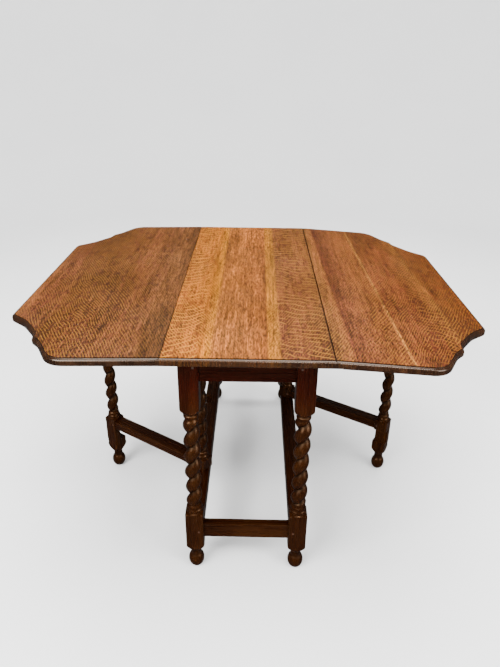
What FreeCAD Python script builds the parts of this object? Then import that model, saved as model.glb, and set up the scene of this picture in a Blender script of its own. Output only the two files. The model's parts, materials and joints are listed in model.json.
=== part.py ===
import FreeCAD, Part
import math
import os
import re

# Gateleg table: a fixed centre board on a joined frame, two drop leaves on rule joints, and
# two swinging gates that hold the leaves up.
#
# +X runs across the leaves, +Y along the hinge lines, +Z up; the origin is on the floor under the
# middle of the table. Everything is in millimetres. The model stands with both leaves up and both
# gates open. The two sides are alike when the table is turned half round, so most pieces are made
# by a function that takes `side`: -1 for the left side, +1 for the right.

Vector = FreeCAD.Vector
UP = Vector(0, 0, 1)

# ---------------------------------------------------------------- driving dimensions
SIZES = [
    ("table_height", 735, "floor to the face of the top"),
    ("top_length", 1250, "across both leaves, laid level"),
    ("top_depth", 1080, "along the hinge lines"),
    ("board_thick", 20, "thickness of all three boards"),
    ("centre_width", 397, "centre board, seam to seam"),
    ("field_inset", 9, "outer edge to the sunk step round the field"),
    ("field_step", 2.2, "depth of that step"),
    ("edge_round", 7.5, "round on the moulded edge"),
    ("edge_under", 3.5, "round under the moulded edge"),
    ("rule_radius", 17, "convex edge of the centre board"),
    ("rule_gap", 0.5, "air between the convex edge and the leaf's cove"),
    ("seam_gap", 0.9, "open line between the boards when level"),
    ("droop_left", 1.0, "degrees the left leaf rests below level"),
    ("droop_right", 3.8, "degrees the right leaf rests below level"),
    ("shoulder_y", 241, "shaped corner: where it leaves the outer edge"),
    ("bend_x", 50, "shaped corner: first hollow, in from the outer edge"),
    ("bend_y", 200, "shaped corner: first hollow, in from the front edge"),
    ("notch_x", 95, "shaped corner: notch"),
    ("notch_y", 138, "shaped corner: notch"),
    ("nib_x", 101, "shaped corner: nib"),
    ("nib_y", 109, "shaped corner: nib"),
    ("hollow_x", 123, "shaped corner: second hollow"),
    ("hollow_y", 86, "shaped corner: second hollow"),
    ("toe_x", 171, "shaped corner: where it meets the front edge"),
    ("shoulder_round", 22, "radius at the shoulder"),
    ("bend_round", 120, "radius of the first hollow"),
    ("notch_round", 5, "radius in the notch"),
    ("nib_round", 10, "radius of the nib"),
    ("hollow_round", 80, "radius of the second hollow"),
    ("toe_round", 60, "radius at the toe"),
    ("frame_width", 338, "over the frame legs, across the leaves"),
    ("frame_depth", 944, "over the frame legs, along the hinges"),
    ("leg_square", 50, "frame leg section"),
    ("gate_square", 45, "gate leg and gate post section"),
    ("foot_radius", 22.5, "ball foot"),
    ("foot_flat", 13, "radius of the flat under the foot"),
    ("foot_height", 48, "height of the ball foot"),
    ("neck_radius", 14.5, "neck over the foot"),
    ("neck_high", 62, "floor to the top of that neck"),
    ("block_low", 86, "underside of the lower square"),
    ("block_high", 205, "top of the lower square"),
    ("top_block_low", 548, "underside of the upper square"),
    ("twist_radius", 22.5, "crest of the twist"),
    ("twist_root", 12, "root of the twist"),
    ("twist_pitch", 50.5, "rise of one turn of the twist"),
    ("bead_height", 11, "each turned bead"),
    ("shoulder_height", 20, "turned slope between square and neck"),
    ("apron_high", 83, "height of the aprons"),
    ("apron_thick", 22, "thickness of the end aprons"),
    ("apron_setback", 8, "leg face to end apron face"),
    ("side_apron_thick", 24, "thickness of the side aprons"),
    ("stretcher_low", 119.5, "floor to the underside of the stretchers"),
    ("stretcher_high", 47.5, "height of the stretchers"),
    ("end_stretcher_thick", 24, "thickness of the end stretchers"),
    ("side_stretcher_thick", 46, "thickness of the side stretchers"),
    ("tenon_long", 25, "length of the frame tenons"),
    ("tenon_thick", 9, "thickness of all tenons"),
    ("tenon_step", 8, "shoulder over and under a tenon"),
    ("joint_gap", 0.1, "air round a tenon"),
    ("peg_radius", 3.5, "wooden pegs"),
    ("peg_long", 30, "length of a frame peg"),
    ("pivot_offset", 215, "table middle to a gate pivot, along the hinges"),
    ("gate_reach", 389, "gate post centre to gate leg centre"),
    ("gate_swing", 57, "degrees a gate stands open"),
    ("gate_tenon", 18, "length of the gate tenons"),
    ("gate_tenon_step", 4, "shoulder over and under a gate tenon"),
    ("gate_rail_thick", 40, "width of the gate rails seen from above"),
    ("gate_rail_high", 30, "height of the gate rails"),
    ("gate_rail_gap", 3, "gate rail to the fixed rail beside it"),
    ("post_gap", 1, "gate post to the rails that hold it"),
    ("pin_radius", 8, "turned pivot pin on the gate post"),
    ("pin_long", 25, "length of the pivot pin"),
    ("pin_gap", 0.08, "running clearance round the pivot pin"),
    ("halving_gap", 1.5, "air round the halved gate leg"),
    ("leaf_seat_gap", 0.3, "gate leg to the leaf that it holds up"),
    ("stop_gap", 2, "gate leg to its stop block"),
    ("stop_thick", 24, "stop block thickness"),
    ("stop_long", 60, "stop block length"),
    ("stop_high", 24, "stop block height"),
    ("hinge_spacing", 360, "middle hinge to an end hinge"),
    ("hinge_width", 38, "length of a hinge along its pin"),
    ("hinge_thick", 2, "thickness of a hinge plate"),
    ("knuckle_radius", 3.5, "outside of the hinge knuckle"),
    ("hinge_pin_radius", 1.5, "hinge pin"),
    ("hinge_pin_gap", 0.05, "running clearance round the hinge pin"),
    ("knuckle_play", 0.4, "air between two knuckles"),
    ("table_plate_long", 40, "hinge plate under the centre board"),
    ("leaf_plate_long", 62, "hinge plate under the leaf"),
    ("groove_gap", 0.5, "air round the knuckle in its groove"),
    ("plate_play", 0.3, "air over the leaf plate in the centre board"),
    ("screw_radius", 1.8, "hinge screw shank"),
    ("screw_head", 3.6, "hinge screw head radius"),
    ("screw_long", 12, "hinge screw length"),
    ("screw_slot", 0.8, "width and depth of a screw slot"),
    ("table_screw_near", 14, "hinge line to the near screw under the centre board"),
    ("table_screw_far", 32, "hinge line to the far screws under the centre board"),
    ("leaf_screw_near", 30, "hinge line to the near screw under the leaf"),
    ("leaf_screw_far", 54, "hinge line to the far screws under the leaf"),
    ("screw_edge", 9, "end of a hinge plate to its outer screws"),
    ("stop_screw_edge", 12, "end of a stop block to its screws"),
    ("glue_block", 30, "square of the glue blocks"),
    ("glue_block_long", 60, "length of the glue blocks"),
]

doc = FreeCAD.newDocument("gateleg_table")
sheet = doc.addObject("Spreadsheet::Sheet", "sizes")
for row, (alias, number, meaning) in enumerate(SIZES, start=1):
    sheet.set(f"A{row}", meaning)
    sheet.set(f"B{row}", str(number))
    sheet.setAlias(f"B{row}", alias)
doc.recompute()
ALIASES = {alias for alias, number, meaning in SIZES}


def size(alias):
    """A driving dimension as a number."""
    return float(sheet.get(alias))


def on_sheet(text):
    """An expression in which every alias is read from the sheet."""
    return re.sub(r"[a-z]\w*", lambda word: f"sizes.{word[0]}" if word[0] in ALIASES else word[0], text)


# Derived heights and places, each an expression on the sheet.
UNDER = "(table_height - board_thick)"
HINGE_X = "(centre_width / 2)"
LEG_X = "((frame_width - leg_square) / 2)"
LEG_Y = "((frame_depth - leg_square) / 2)"
APRON_LOW = f"({UNDER} - apron_high)"
STRETCHER_TOP = "(stretcher_low + stretcher_high)"
CLOSED_Y = "(pivot_offset - gate_reach)"

# The same as numbers, for the pieces that Part's functions make.
under = size("table_height") - size("board_thick")
hinge_x = size("centre_width") / 2
leg_x = (size("frame_width") - size("leg_square")) / 2
leg_y = (size("frame_depth") - size("leg_square")) / 2
hinge_ys = [-size("hinge_spacing"), 0.0, size("hinge_spacing")]
NODES = []


# ---------------------------------------------------------------- building blocks
def bind(item, **expressions):
    """Tie properties to the sheet; a double underscore stands for a dot in the property's path."""
    for prop, text in expressions.items():
        item.setExpression(prop.replace("__", "."), on_sheet(str(text)))
    return item


def block(name, x, y, low, long_x, long_y, high):
    """A box given by its middle in plan, its underside and its three sizes."""
    item = doc.addObject("Part::Box", name)
    return bind(item, Length=long_x, Width=long_y, Height=high,
                Placement__Base__x=f"({x}) - ({long_x}) / 2",
                Placement__Base__y=f"({y}) - ({long_y}) / 2",
                Placement__Base__z=low)


ALONG = {"x": FreeCAD.Rotation(Vector(0, 1, 0), 90), "y": FreeCAD.Rotation(Vector(1, 0, 0), -90),
         "z": FreeCAD.Rotation()}


def rod(name, along, x, y, z, radius, long):
    """A cylinder that starts at x, y, z and runs up the named axis."""
    item = doc.addObject("Part::Cylinder", name)
    item.Placement = FreeCAD.Placement(Vector(), ALONG[along])
    return bind(item, Radius=radius, Height=long,
                Placement__Base__x=x, Placement__Base__y=y, Placement__Base__z=z)


def made(name, shape):
    """A feature that holds a shape made by Part's functions."""
    item = doc.addObject("Part::Feature", name)
    item.Shape = shape
    return item


def joined(name, *pieces):
    item = doc.addObject("Part::MultiFuse", name)
    item.Shapes = list(pieces)
    return item


def shared(name, *pieces):
    item = doc.addObject("Part::MultiCommon", name)
    item.Shapes = list(pieces)
    return item


def group(name, *pieces):
    item = doc.addObject("Part::Compound", name)
    item.Links = list(pieces)
    return item


def cut(name, base, *tools):
    item = doc.addObject("Part::Cut", name)
    item.Base = base
    item.Tool = tools[0] if len(tools) == 1 else joined(name + "_tools", *tools)
    return item


def node(item, label, placement=None):
    """Name a finished sub-part and put it in its place."""
    item.Label = label
    if placement is not None:
        item.Placement = placement
    NODES.append(item)
    return item


# ---------------------------------------------------------------- places
def gate_turn(side):
    """The gate's swing from closed to open, about its pivot."""
    pivot = Vector(side * leg_x, side * size("pivot_offset"), 0)
    return FreeCAD.Placement(Vector(), FreeCAD.Rotation(UP, size("gate_swing")), pivot)


def leaf_turn(side):
    """The leaf's rest angle below level, about its hinge line."""
    droop = size("droop_left") if side < 0 else size("droop_right")
    axis = Vector(side * hinge_x, 0, under)
    return FreeCAD.Placement(Vector(), FreeCAD.Rotation(Vector(0, 1, 0), side * droop), axis)


def moved(x, y, z=0.0):
    return FreeCAD.Placement(Vector(x, y, z), FreeCAD.Rotation())


# ---------------------------------------------------------------- the three boards
def line_crossing(a, b, c, d):
    """Where the line through a and b crosses the line through c and d."""
    u = b - a
    v = d - c
    along = ((c.x - a.x) * v.y - (c.y - a.y) * v.x) / (u.x * v.y - u.y * v.x)
    return a + u * along


def outline(corners, inset, height):
    """A closed wire of straight runs and arcs round a plan, taken anticlockwise.

    Each corner is (x, y, radius, inset_after): the radius rounds the corner, and the run after it
    moves inwards by the inset only if inset_after is true. Radii grow or shrink with the inset,
    so the inner line stays parallel to the outer one.
    """
    points = [Vector(x, y, height) for x, y, radius, follows in corners]
    count = len(points)
    runs = []
    for here in range(count):
        ahead = (points[(here + 1) % count] - points[here]).normalize()
        inwards = Vector(-ahead.y, ahead.x, 0) * (inset if corners[here][3] else 0)
        runs.append((points[here] + inwards, points[(here + 1) % count] + inwards))
    edges = []
    joins = []
    for here in range(count):
        before = runs[here - 1]
        after = runs[here]
        corner = line_crossing(*before, *after)
        way_in = (before[1] - before[0]).normalize()
        way_out = (after[1] - after[0]).normalize()
        turn = math.atan2(way_in.x * way_out.y - way_in.y * way_out.x, way_in.dot(way_out))
        radius = corners[here][2]
        if radius:
            radius -= math.copysign(inset, turn)
        back = radius * math.tan(abs(turn) / 2)
        start = corner - way_in * back
        end = corner + way_out * back
        towards = (way_out - way_in).normalize()
        middle = corner + towards * (radius / math.cos(turn / 2) - radius)
        joins.append((start, middle, end, radius))
    for here in range(count):
        start, middle, end, radius = joins[here]
        if radius:
            edges.append(Part.Arc(start, middle, end).toShape())
        edges.append(Part.LineSegment(end, joins[(here + 1) % count][0]).toShape())
    return Part.Wire(edges)


def moulded_board(corners):
    """A board with a sunk step round its field and a rounded edge, given its plan."""
    low_face = Part.Face(outline(corners, 0, under))
    slab_high = size("board_thick") - size("field_step")
    slab = low_face.extrude(UP * slab_high)
    seams = {round(corners[here][0], 3) for here in range(len(corners)) if not corners[here][3]}

    def rim(level):
        """The edges at one level, apart from those on a seam."""
        found = []
        for edge in slab.Edges:
            box = edge.BoundBox
            flat = abs(box.ZMin - level) < 1e-6 and abs(box.ZMax - level) < 1e-6
            on_seam = box.XLength < 1e-6 and round(box.XMin, 3) in seams
            if flat and not on_seam:
                found.append(edge)
        return found

    slab = slab.makeFillet(size("edge_round"), rim(under + slab_high))
    slab = slab.makeFillet(size("edge_under"), rim(under))
    field_face = Part.Face(outline(corners, size("field_inset"), under + slab_high))
    field = field_face.extrude(UP * size("field_step"))
    return slab.fuse(field)


def leaf_plan(side):
    """The leaf's plan from its seam out: two shaped corners, mirrored front to back."""
    edge_x = size("top_length") / 2
    edge_y = size("top_depth") / 2
    shape = [("toe_x", None, "toe_round"), ("hollow_x", "hollow_y", "hollow_round"),
             ("nib_x", "nib_y", "nib_round"), ("notch_x", "notch_y", "notch_round"),
             ("bend_x", "bend_y", "bend_round"), (None, "shoulder_y", "shoulder_round")]
    front = []
    for in_x, in_y, radius in shape:
        x = edge_x - (size(in_x) if in_x else 0)
        y = edge_y - (size(in_y) if in_y else 0)
        front.append((x, -y, size(radius)))
    back = [(x, -y, radius) for x, y, radius in reversed(front)]
    seam_x = hinge_x + size("seam_gap")
    corners = [(seam_x, -edge_y, 0, True)]
    corners += [(x, y, radius, True) for x, y, radius in front + back]
    corners += [(seam_x, edge_y, 0, False)]
    if side > 0:
        return corners
    # Turned half round, the plan still runs anticlockwise.
    return [(-x, -y, radius, follows) for x, y, radius, follows in corners]


def centre_plan():
    """The centre board's plan, out to the foot of both convex edges."""
    edge_x = hinge_x + size("rule_radius")
    edge_y = size("top_depth") / 2
    return [(-edge_x, -edge_y, 0, True), (edge_x, -edge_y, 0, False),
            (edge_x, edge_y, 0, True), (-edge_x, edge_y, 0, False)]


def screw_shape(slotted):
    """A countersunk screw standing on its head at the origin, point up."""
    head_high = size("screw_radius")
    head = Part.makeCone(size("screw_head"), size("screw_radius"), head_high)
    shank = Part.makeCylinder(size("screw_radius"), size("screw_long") - head_high, UP * head_high)
    screw = head.fuse(shank)
    if slotted:
        wide = size("screw_slot")
        across = 2 * size("screw_head")
        slot = Part.makeBox(across, wide, wide, Vector(-across / 2, -wide / 2, 0))
        screw = screw.cut(slot)
    return screw


def screw_places(side, flap):
    """Plan places of the three screws in each hinge plate; flap is -1 table side, +1 leaf side."""
    plate = "table" if flap < 0 else "leaf"
    near, far = size(f"{plate}_screw_near"), size(f"{plate}_screw_far")
    spread = size("hinge_width") / 2 - size("screw_edge")
    places = []
    for hinge_y in hinge_ys:
        places.append((side * (hinge_x + flap * near), hinge_y))
        places.append((side * (hinge_x + flap * far), hinge_y - spread))
        places.append((side * (hinge_x + flap * far), hinge_y + spread))
    return places


def screws(places, slotted, low=under):
    """Many screws as one compound."""
    one = screw_shape(slotted)
    return Part.makeCompound([one.translated(Vector(x, y, low)) for x, y in places])


def stop_places(side):
    """Plan places of the two screws through a stop block, at the block's level-leaf place."""
    middle = stop_place(side)
    spread = size("stop_long") / 2 - size("stop_screw_edge")
    return [middle.multVec(Vector(0, offset, 0)) for offset in (-spread, spread)]


def stop_place(side):
    """Where the stop block lies: against the gate leg's leading face with the gate open."""
    out = size("gate_square") / 2 + size("stop_gap") + size("stop_thick") / 2
    closed_y = side * (size("pivot_offset") - size("gate_reach"))
    return gate_turn(side).multiply(moved(side * (leg_x + out), closed_y))


def centre_board():
    blank = made("centre_blank", moulded_board(centre_plan()))
    middle = block("centre_middle", 0, 0, UNDER, "centre_width", "top_depth", "board_thick")
    rounds = [rod(f"centre_round_{n}", "y", f"{side} * {HINGE_X}", "-top_depth / 2", UNDER,
                  "rule_radius", "top_depth") for n, side in enumerate((-1, 1))]
    body = shared("centre_body", blank, joined("centre_section", middle, *rounds))
    tools = []
    for side in (-1, 1):
        tag = "left" if side < 0 else "right"
        for n, step in enumerate((-1, 0, 1)):
            y = f"{step} * hinge_spacing"
            tools.append(rod(f"groove_{tag}_{n}", "y", f"{side} * {HINGE_X}",
                             f"{y} - hinge_width / 2 - groove_gap", UNDER,
                             "knuckle_radius + groove_gap", "hinge_width + 2 * groove_gap"))
            tools.append(block(f"table_recess_{tag}_{n}", f"{side} * ({HINGE_X} - table_plate_long / 2)",
                               y, f"{UNDER} - 1", "table_plate_long", "hinge_width", "hinge_thick + 1"))
            reach = "(rule_radius + 2)"
            tools.append(block(f"swing_recess_{tag}_{n}", f"{side} * ({HINGE_X} + {reach} / 2)", y,
                               f"{UNDER} - 1", reach, "hinge_width + 2 * plate_play",
                               "hinge_thick + plate_play + 1"))
        tools.append(made(f"table_screw_holes_{tag}", screws(screw_places(side, -1), False)))
    tools.append(made("top_screw_holes", top_screw_shapes(False)))
    node(cut("centre_board_cut", body, *tools), "centre_board")


def leaf(side):
    tag = "left" if side < 0 else "right"
    blank = made(f"leaf_blank_{tag}", moulded_board(leaf_plan(side)))
    tools = [rod(f"cove_{tag}", "y", f"{side} * {HINGE_X}", "-top_depth / 2", UNDER,
                 "rule_radius + rule_gap", "top_depth")]
    start = "(rule_radius - 1)"
    for n, step in enumerate((-1, 0, 1)):
        tools.append(block(f"leaf_recess_{tag}_{n}",
                           f"{side} * ({HINGE_X} + ({start} + leaf_plate_long) / 2)",
                           f"{step} * hinge_spacing", f"{UNDER} - 1", f"leaf_plate_long - {start}",
                           "hinge_width", "hinge_thick + 1"))
    tools.append(made(f"leaf_screw_holes_{tag}", screws(screw_places(side, 1), False)))
    stop_points = [(point.x, point.y) for point in stop_places(side)]
    tools.append(made(f"stop_screw_holes_{tag}",
                      screws(stop_points, False, under - size("screw_long") / 2)))
    node(cut(f"leaf_cut_{tag}", blank, *tools), f"leaf_{tag}", leaf_turn(side))

    stop = block(f"stop_block_{tag}", 0, 0, f"{UNDER} - stop_high", "stop_thick", "stop_long", "stop_high")
    place = stop_place(side)
    local = [place.inverse().multVec(point) for point in stop_places(side)]
    bores = [rod(f"stop_bore_{tag}_{n}", "z", point.x, point.y, f"{UNDER} - stop_high - 1",
                 "screw_head", f"stop_high - screw_long / 2 + 1") for n, point in enumerate(local)]
    holes = made(f"stop_holes_{tag}", screws([(point.x, point.y) for point in local], False,
                                             under - size("screw_long") / 2))
    node(cut(f"stop_cut_{tag}", stop, *bores, holes), f"gate_stop_{tag}",
         leaf_turn(side).multiply(place))
    fixings = Part.makeCompound([screws(screw_places(side, 1), True),
                                 screws(stop_points, True, under - size("screw_long") / 2)])
    node(made(f"leaf_screws_{tag}", Part.makeCompound(fixings.Solids)), f"leaf_{tag}_screws",
         leaf_turn(side))


# ---------------------------------------------------------------- hinges
def hinge_plate(side, number, flap):
    """One hinge plate with its own knuckles: flap -1 lies under the centre board, +1 the leaf."""
    tag = f"{'left' if side < 0 else 'right'}_{number}"
    name = f"{'table' if flap < 0 else 'leaf'}_plate_{tag}"
    y = f"{number - 1} * hinge_spacing"
    far = "table_plate_long" if flap < 0 else "leaf_plate_long"
    near = "(knuckle_radius + knuckle_play)"
    plate = block(f"{name}_flat", f"{side} * ({HINGE_X} + {flap} * ({far} + {near}) / 2)", y, UNDER,
                  f"{far} - {near}", "hinge_width", "hinge_thick")
    pieces = [plate]
    wide = "(hinge_width / 5 - knuckle_play)"
    for knuckle in ((0, 2, 4) if flap < 0 else (1, 3)):
        middle = f"({y} + {knuckle - 2} * hinge_width / 5)"
        pieces.append(block(f"{name}_tongue_{knuckle}", f"{side} * ({HINGE_X} + {flap} * {near} / 2)",
                            middle, UNDER, near, wide, "hinge_thick"))
        pieces.append(rod(f"{name}_knuckle_{knuckle}", "y", f"{side} * {HINGE_X}",
                          f"{middle} - {wide} / 2", UNDER, "knuckle_radius", wide))
    gap = "" if flap < 0 else " + hinge_pin_gap"
    bore = rod(f"{name}_bore", "y", f"{side} * {HINGE_X}", f"{y} - hinge_width", UNDER,
               f"hinge_pin_radius{gap}", "2 * hinge_width")
    places = screw_places(side, flap)[3 * number:3 * number + 3]
    holes = made(f"{name}_holes", screws(places, False))
    solid = cut(f"{name}_cut", joined(f"{name}_body", *pieces), bore, holes)
    label = f"hinge_{tag}_{'table' if flap < 0 else 'leaf'}_plate"
    node(solid, label, leaf_turn(side) if flap > 0 else None)


def hinge_pin(side, number):
    tag = f"{'left' if side < 0 else 'right'}_{number}"
    node(rod(f"pin_{tag}", "y", f"{side} * {HINGE_X}",
             f"{number - 1} * hinge_spacing - (hinge_width - knuckle_play) / 2", UNDER,
             "hinge_pin_radius", "hinge_width - knuckle_play"), f"hinge_{tag}_pin")


# ---------------------------------------------------------------- turned work
# A cone this share of the square wide clears its corners, so it trims nothing there.
CORNER_SHARE = 0.72
SHOULDER_DROP = 5.0  # the lower shoulder starts this far down the corners of the square
SHOULDER_RISE = 3.0  # and its neck this far over the square
NECK_IN = 5.0  # the neck over the lower square is this much smaller in radius than the square
NECK_STEP = 2.0  # the second bead's neck is this much smaller again
LOW_BEAD_PROUD = 3.5
HIGH_BEAD_PROUD = 3.0
CORE_IN = 2.0  # the core under the rope, in from the rope's root


def turning(points):
    """A solid of revolution about Z. Each point is (radius, z), or an arc (radius, z, radius, z)
    that passes through its first pair and ends at its second."""
    here = Vector(points[0][0], 0, points[0][1])
    edges = []
    for point in points[1:]:
        there = Vector(point[-2], 0, point[-1])
        if len(point) == 4:
            edges.append(Part.Arc(here, Vector(point[0], 0, point[1]), there).toShape())
        else:
            edges.append(Part.LineSegment(here, there).toShape())
        here = there
    edges.append(Part.LineSegment(here, Vector(points[0][0], 0, points[0][1])).toShape())
    return Part.Face(Part.Wire(edges)).revolve(Vector(), UP, 360)


def bead(radius, proud, low):
    """Arc points of one turned bead that stands proud of its radius."""
    high = size("bead_height")
    return (radius + proud, low + high / 2, radius, low + high)


def shaft_points(square, block_top, upper_low):
    """The turned work between two squares: slope, two beads, twist core, bead, slope."""
    corner = square * CORNER_SHARE
    core = size("twist_root") - CORE_IN
    bead_base = square / 2 - NECK_IN
    second_base = bead_base - NECK_STEP
    top_base = second_base - NECK_STEP
    low = block_top + SHOULDER_RISE
    high = size("bead_height")
    slope = size("shoulder_height")
    twist_low = low + 2 * high
    twist_high = upper_low - slope - high
    points = [(corner, block_top - SHOULDER_DROP), (bead_base, low),
              bead(bead_base, LOW_BEAD_PROUD, low), (second_base, low + high),
              bead(second_base, HIGH_BEAD_PROUD, low + high),
              (core, twist_low), (core, twist_high), (top_base, twist_high),
              bead(top_base, LOW_BEAD_PROUD, twist_high), (corner, upper_low + SHOULDER_RISE)]
    return points, twist_low, twist_high


TWIST_SPOKES = 16  # points round the rope
TWIST_LEVELS = 10  # rings of points in each turn of it
TWIST_RUNOUT = 12.0  # the rope swells from its mean depth over this height at each end
TWIST_MEAN = 0.45  # mean depth, as a share of root to crest
TWIST_FULLNESS = 0.8  # below 1 the crest is broader than the groove
SAME_PLACE = 1e-4


def twist(low, high, crest, start):
    """A single rope of wood wound round a core: the radius at angle a and height z rises from
    root to crest where a has turned as far as z has climbed, once per pitch. start turns the
    whole rope about the leg, in degrees."""
    pitch = size("twist_pitch")
    root = size("twist_root")
    levels = int(round((high - low) / pitch * TWIST_LEVELS))
    grid = []
    for step in range(levels + 1):
        z = low + (high - low) * step / levels
        ease = min(1.0, (z - low) / TWIST_RUNOUT, (high - z) / TWIST_RUNOUT)
        ease = ease * ease * (3 - 2 * ease)
        ring = []
        for spoke in range(TWIST_SPOKES + 1):
            angle = 2 * math.pi * (spoke % TWIST_SPOKES) / TWIST_SPOKES
            phase = angle - 2 * math.pi * (z - low) / pitch - math.radians(start)
            ridge = (0.5 + 0.5 * math.cos(phase)) ** TWIST_FULLNESS
            radius = root + (crest - root) * (TWIST_MEAN + ease * (ridge - TWIST_MEAN))
            ring.append(Vector(radius * math.cos(angle), radius * math.sin(angle), z))
        grid.append(ring)
    surface = Part.BSplineSurface()
    surface.interpolate(grid)
    side_face = surface.toShape()
    faces = [side_face]
    for level in (low, high):
        rim = [edge for edge in side_face.Edges
               if max(abs(edge.BoundBox.ZMin - level), abs(edge.BoundBox.ZMax - level)) < SAME_PLACE]
        faces.append(Part.Face(Part.Wire(rim)))
    shell = Part.Shell(faces)
    shell.sewShape()
    solid = Part.Solid(shell)
    if solid.Volume < 0:
        solid.reverse()
    return solid


def foot_points(square):
    """Ball foot, neck and the slope up to the lower square."""
    foot = size("foot_height")
    neck = size("neck_radius")
    return [(0, 0), (size("foot_flat"), 0), (size("foot_radius"), foot / 2, neck, foot),
            (neck, size("neck_high")), (square * CORNER_SHARE, size("block_low") + SHOULDER_RISE)]


def turned_leg(name, square, top, height, start=0):
    """A leg with a ball foot: the turning trimmed to a square, with its twist wound on."""
    shaft, twist_low, twist_high = shaft_points(square, size("block_high"), size("top_block_low"))
    wide = square * CORNER_SHARE
    points = foot_points(square) + shaft + [(wide, top), (0, top)]
    lathe = made(f"{name}_turning", turning(points))
    section = "leg_square" if square == size("leg_square") else "gate_square"
    stock = block(f"{name}_stock", 0, 0, 0, section, section, height)
    crest = size("twist_radius") * square / size("leg_square")
    rope = made(f"{name}_twist", twist(twist_low, twist_high, crest, start))
    return joined(f"{name}_blank", shared(f"{name}_trimmed", stock, lathe), rope)


# ---------------------------------------------------------------- the fixed frame
SIDE_NAMES = {-1: "left", 1: "right"}
END_NAMES = {-1: "front", 1: "back"}
RAILS = {
    "apron": {"low": APRON_LOW, "high": "apron_high", "end": "apron_thick", "side": "side_apron_thick"},
    "stretcher": {"low": "stretcher_low", "high": "stretcher_high", "end": "end_stretcher_thick",
                  "side": "side_stretcher_thick"},
}


def end_rail_inset(kind):
    """Leg centre to the end rail's centre, measured outwards."""
    return f"(leg_square / 2 - apron_setback - {RAILS[kind]['end']} / 2)"


# Degrees that each rope starts round its leg, by (side, end): carved by hand, they differ.
ROPE_STARTS = {(-1, -1): 117, (1, -1): -14, (-1, 1): 40, (1, 1): 200}


def frame_leg(side, end):
    name = f"leg_{END_NAMES[end]}_{SIDE_NAMES[side]}"
    blank = turned_leg(name, size("leg_square"), under, UNDER, ROPE_STARTS[side, end])
    deep = "(leg_square / 2 - tenon_long / 2)"
    tools = []
    for kind, rail in RAILS.items():
        low = f"{rail['low']} + tenon_step - joint_gap"
        high = f"{rail['high']} - 2 * tenon_step + 2 * joint_gap"
        middle = f"{rail['low']} + {rail['high']} / 2"
        inset = end_rail_inset(kind)
        tools.append(block(f"{name}_{kind}_end_mortise", f"{-side} * {deep}", f"{end} * {inset}", low,
                           "tenon_long + joint_gap", "tenon_thick + 2 * joint_gap", high))
        tools.append(block(f"{name}_{kind}_side_mortise", 0, f"{-end} * {deep}", low,
                           "tenon_thick + 2 * joint_gap", "tenon_long + joint_gap", high))
        for peg, (along, x, y) in enumerate(peg_places(kind, side, end)):
            tools.append(rod(f"{name}_{kind}_peg_{peg}", along, x, y, middle, "peg_radius",
                             "peg_long"))
    place = moved(side * leg_x, end * leg_y)
    node(cut(f"{name}_cut", blank, *tools), name, place)


def peg_places(kind, side, end):
    """Where the two pegs of one rail level start, seen from the leg's own middle."""
    deep = "(leg_square / 2 - tenon_long / 2)"
    out_y = "leg_square / 2" if end > 0 else "-leg_square / 2"
    out_x = "leg_square / 2" if side > 0 else "-leg_square / 2"
    start_y = f"{out_y} - peg_long" if end > 0 else out_y
    start_x = f"{out_x} - peg_long" if side > 0 else out_x
    return [("y", f"{-side} * {deep}", start_y), ("x", start_x, f"{-end} * {deep}")]


def end_rail(kind, end):
    """An apron or stretcher across the front or back, tenoned into both legs."""
    rail = RAILS[kind]
    name = f"{kind}_{END_NAMES[end]}"
    between = f"(2 * {LEG_X} - leg_square)"
    y = f"{end} * ({LEG_Y} + {end_rail_inset(kind)})"
    body = block(f"{name}_body", 0, y, rail["low"], between, rail["end"], rail["high"])
    tenon = block(f"{name}_tenons", 0, y, f"{rail['low']} + tenon_step",
                  f"{between} + 2 * tenon_long - joint_gap", "tenon_thick",
                  f"{rail['high']} - 2 * tenon_step")
    pegs = [rod(f"{name}_peg_{n}", "y", f"{side} * ({between} / 2 + tenon_long / 2)",
                f"{y} - peg_long", f"{rail['low']} + {rail['high']} / 2", "peg_radius",
                "2 * peg_long")
            for n, side in enumerate((-1, 1))]
    node(cut(f"{name}_cut", joined(f"{name}_blank", body, tenon), *pegs), name)


def side_rail(kind, side):
    """An apron or stretcher along one side: it holds a gate's pivot pin, and is halved where the
    closed gate leg crosses it."""
    rail = RAILS[kind]
    name = f"{kind}_{SIDE_NAMES[side]}"
    x = f"{side} * {LEG_X}"
    between = f"(2 * {LEG_Y} - leg_square)"
    body = block(f"{name}_body", x, 0, rail["low"], rail["side"], between, rail["high"])
    tenon = block(f"{name}_tenons", x, 0, f"{rail['low']} + tenon_step", "tenon_thick",
                  f"{between} + 2 * tenon_long - joint_gap", f"{rail['high']} - 2 * tenon_step")
    half = f"({rail['side']} / 2 + halving_gap / 2 + 1)"
    tools = [block(f"{name}_halving", f"{side} * ({LEG_X} - halving_gap / 2 + {half} / 2)",
                   f"{side} * {CLOSED_Y}", f"{rail['low']} - 1", half,
                   "gate_square + 2 * halving_gap", f"{rail['high']} + 2")]
    bore_low = f"{APRON_LOW} - 1" if kind == "apron" else f"{STRETCHER_TOP} - pin_long"
    tools.append(rod(f"{name}_pivot_bore", "z", x, f"{side} * pivot_offset", bore_low,
                     "pin_radius + pin_gap", "pin_long + 1"))
    for n, end in enumerate((-1, 1)):
        tools.append(rod(f"{name}_peg_{n}", "x", f"{x} - peg_long",
                         f"{end} * ({between} / 2 + tenon_long / 2)",
                         f"{rail['low']} + {rail['high']} / 2", "peg_radius", "2 * peg_long"))
    node(cut(f"{name}_cut", joined(f"{name}_blank", body, tenon), *tools), name)


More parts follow.
